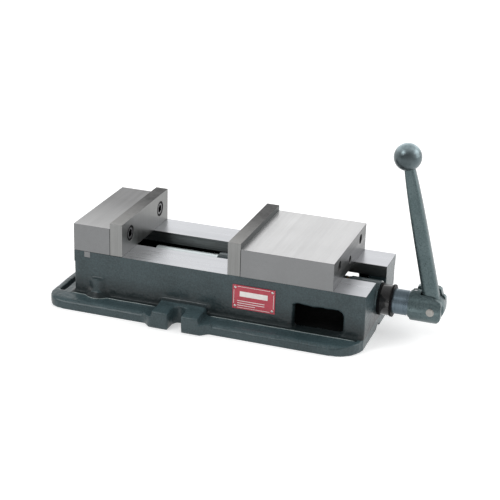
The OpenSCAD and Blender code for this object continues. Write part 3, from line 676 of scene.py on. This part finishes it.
def make_plate_print():
    """Blank generic print on the name plate: a border and plain rules, without lettering."""
    low, high = (Vector(corner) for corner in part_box("nameplate"))
    proud, line, margin, corner = 0.12 * MM, 0.5 * MM, 1.6 * MM, 5.0 * MM
    bm = bmesh.new()

    def bar(left, right, bottom, top):
        corners = [(left, bottom), (right, bottom), (right, top), (left, top)]
        back = [bm.verts.new((x, low.y + 0.02 * MM, z)) for x, z in corners]
        front = [bm.verts.new((x, low.y - proud, z)) for x, z in corners]
        bm.faces.new(front)
        for k in range(4):
            bm.faces.new((back[k], back[(k + 1) % 4], front[(k + 1) % 4], front[k]))

    x0, x1, z0, z1 = low.x + margin, high.x - margin, low.z + margin, high.z - margin
    bar(x0 + corner, x1 - corner, z0, z0 + line)
    bar(x0 + corner, x1 - corner, z1 - line, z1)
    bar(x0, x0 + line, z0 + corner, z1 - corner)
    bar(x1 - line, x1, z0 + corner, z1 - corner)
    for number, share in enumerate((0.84, 0.84, 0.55)):
        z = low.z + (10.5 - 3.0 * number) * MM
        bar(x0 + corner, x0 + corner + (x1 - x0 - 2 * corner) * share, z, z + 0.8 * MM)
    bar(x0 + 8 * MM, x1 - 8 * MM, low.z + 17 * MM, low.z + 24 * MM)
    bmesh.ops.recalc_face_normals(bm, faces=bm.faces)
    link_piece("nameplate_print", mesh_from(bm, "nameplate_print"), "base", "plate_red", (PALE,))


def add_box(bm, low, high):
    made = bmesh.ops.create_cube(bm, size=1.0)["verts"]
    for vert in made:
        vert.co = Vector(((low[k] + high[k]) / 2 + vert.co[k] * (high[k] - low[k]) for k in range(3)))


def make_seams():
    """Dark hairlines where a jaw block meets its plate, and where the fixed block sits on the base."""
    proud, deep, half = 0.05 * MM, 0.5 * MM, 0.35 * MM
    for body, block, plate in (("base", "fixed_jaw_block", "fixed_jaw_plate"),
                               ("moving_jaw", "movable_jaw_block", None)):
        low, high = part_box(block)
        joint_x = high[0] if plate else low[0]
        bm = bmesh.new()
        for side in (-1, 1):
            y = sorted((side * (WALL_Y + proud), side * (WALL_Y - deep)))
            add_box(bm, (joint_x - half, y[0], BED_Z), (joint_x + half, y[1], high[2] - 0.4 * MM))
            if plate:
                add_box(bm, (low[0] + 0.5 * MM, y[0], BED_Z - 0.2 * MM),
                        (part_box(plate)[1][0] - 0.5 * MM, y[1], BED_Z + 0.25 * MM))
        link_piece("seams_" + body, mesh_from(bm, "seams_" + body), body, "black_oxide", (SEAM_AND_SHADE_BLACK,))


def make_screw_rims():
    """Painted shade: a near-black ring over the gap and the chamfer round each plate screw's head."""
    head_r, outer, inner, thick, steps = 9.5 * MM, 10.4 * MM, 7.3 * MM, 0.3 * MM, 48
    for screws, _, body, toward in PLATE_FIXINGS:
        low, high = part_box(screws)
        face_x = (high[0] if toward > 0 else low[0]) + toward * 0.1 * MM
        centre_y, centre_z = high[1] - head_r, (low[2] + high[2]) / 2
        bm = bmesh.new()
        turns = [2 * math.pi * k / steps for k in range(steps)]
        for side in (-1, 1):
            join_rings(bm, [[bm.verts.new((face_x - toward * depth, side * centre_y + r * math.cos(a),
                                           centre_z + r * math.sin(a))) for a in turns]
                            for r, depth in ((outer, 0.0), (inner, 0.0), (inner, thick), (outer, thick))], True)
        bmesh.ops.recalc_face_normals(bm, faces=bm.faces)
        link_piece("screw_rims_" + body, mesh_from(bm, "screw_rims_" + body), body, "black_oxide", (SEAM_AND_SHADE_BLACK,))


make_casting()
make_foot_beads()
make_seams()
make_screw_rims()
make_ways()
make_lead_screw()
make_handle()
make_plate_print()


# ---------------------------------------------------------------- floor, lights and camera

def make_floor():
    half = 15.0
    mesh = bpy.data.meshes.new("floor")
    mesh.from_pydata([(-half, -half, 0), (half, -half, 0), (half, half, 0), (-half, half, 0)], [], [(0, 1, 2, 3)])
    floor = bpy.data.objects.new("floor", mesh)
    bpy.context.scene.collection.objects.link(floor)
    s = Shade("floor_pale")
    grain = s.noise(3.0, 2.0)
    s.bsdf.inputs["Emission Color"].default_value = (1.0, 1.0, 1.0, 1.0)
    s.bsdf.inputs["Emission Strength"].default_value = 0.4
    pale = s.ramp(grain, [(0.3, (0.90, 0.90, 0.90)), (0.7, (0.92, 0.92, 0.92))])
    set_material(floor, s.finish(colour=pale, rough=0.9))


def area_light(name, place, target, size, power):
    light = bpy.data.lights.new(name, "AREA")
    light.energy = power
    light.shape = "RECTANGLE"
    light.size = size
    light.size_y = size
    obj = bpy.data.objects.new(name, light)
    bpy.context.scene.collection.objects.link(obj)
    obj.location = place
    obj.rotation_euler = (Vector(target) - Vector(place)).to_track_quat("-Z", "Y").to_euler()


def make_world(horizon, zenith):
    """A studio that is bright round the horizon, dimmer overhead and in front, with a white backdrop."""
    world = bpy.data.worlds.new("studio")
    bpy.context.scene.world = world
    world.use_nodes = True
    tree = world.node_tree
    back = tree.nodes["Background"]
    back.inputs["Color"].default_value = (1.0, 1.0, 1.0, 1.0)
    coords = tree.nodes.new("ShaderNodeTexCoord")
    split = tree.nodes.new("ShaderNodeSeparateXYZ")
    spread = tree.nodes.new("ShaderNodeMapRange")
    path = tree.nodes.new("ShaderNodeLightPath")
    pick = tree.nodes.new("ShaderNodeMix")
    for socket, value in zip(RANGE, (0.25, 0.75, horizon, zenith)):
        spread.inputs[socket].default_value = value
    tree.links.new(coords.outputs["Generated"], split.inputs[0])
    tree.links.new(split.outputs["Z"], spread.inputs["Value"])
    front = tree.nodes.new("ShaderNodeMapRange")
    for socket, value in zip(RANGE, (-0.75, 0.1, 0.45, 1.0)):
        front.inputs[socket].default_value = value
    tree.links.new(split.outputs["Y"], front.inputs["Value"])
    both = tree.nodes.new("ShaderNodeMath")
    both.operation = "MULTIPLY"
    tree.links.new(spread.outputs["Result"], both.inputs[0])
    tree.links.new(front.outputs["Result"], both.inputs[1])
    tree.links.new(path.outputs["Is Camera Ray"], pick.inputs[0])
    tree.links.new(both.outputs[0], pick.inputs[2])
    pick.inputs[3].default_value = 1.0
    tree.links.new(pick.outputs[0], back.inputs["Strength"])


def make_camera():
    azimuth, elevation, roll, place = 18.58, 21.97, 1.795, (0.5871, -1.5685, 0.7459)
    camera = bpy.data.cameras.new("camera")
    camera.sensor_width = 36.0
    camera.lens = 99.36
    obj = bpy.data.objects.new("camera", camera)
    bpy.context.scene.collection.objects.link(obj)
    turn = (Matrix.Rotation(math.radians(azimuth), 4, "Z")
            @ Matrix.Rotation(math.radians(90.0 - elevation), 4, "X")
            @ Matrix.Rotation(math.radians(roll), 4, "Z"))
    obj.matrix_world = Matrix.Translation(place) @ turn
    bpy.context.scene.camera = obj


make_floor()
make_world(1.45, 0.6)
area_light("key", (-0.9, -1.2, 1.6), (0.05, 0.0, 0.08), 0.9, 13.0)
area_light("right", (1.8, 0.5, 0.9), (0.05, 0.0, 0.1), 1.4, 12.0)
make_camera()
bpy.context.scene.view_settings.view_transform = "Standard"
